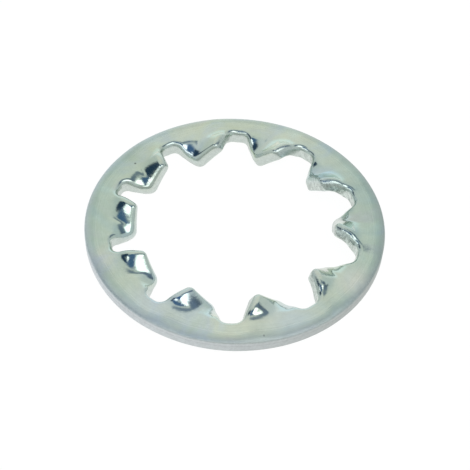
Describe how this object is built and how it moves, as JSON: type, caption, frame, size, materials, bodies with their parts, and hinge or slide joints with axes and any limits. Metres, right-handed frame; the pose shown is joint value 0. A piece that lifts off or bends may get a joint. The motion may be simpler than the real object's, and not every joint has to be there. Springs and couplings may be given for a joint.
{
  "type": "toothed lock washer",
  "caption": "Flat ring washer whose inner rim is cut into twisted radial teeth that bite under a nut or bolt head.",
  "frame": {"origin": "on the axis of the bolt hole, in the plane of the lowest tooth corners that the washer lies on", "axes": "+Z along the bolt's axis, square to the ring; +X through the middle line of one tooth"},
  "size_m": [0.0203, 0.0202, 0.0021],
  "materials": {
    "zinc_plate": "bright zinc plate with a clear blue passivation, glossy, faint green and straw tints"
  },
  "bodies": {
    "root": {"lock_washer": "zinc_plate"}
  },
  "joints": []
}
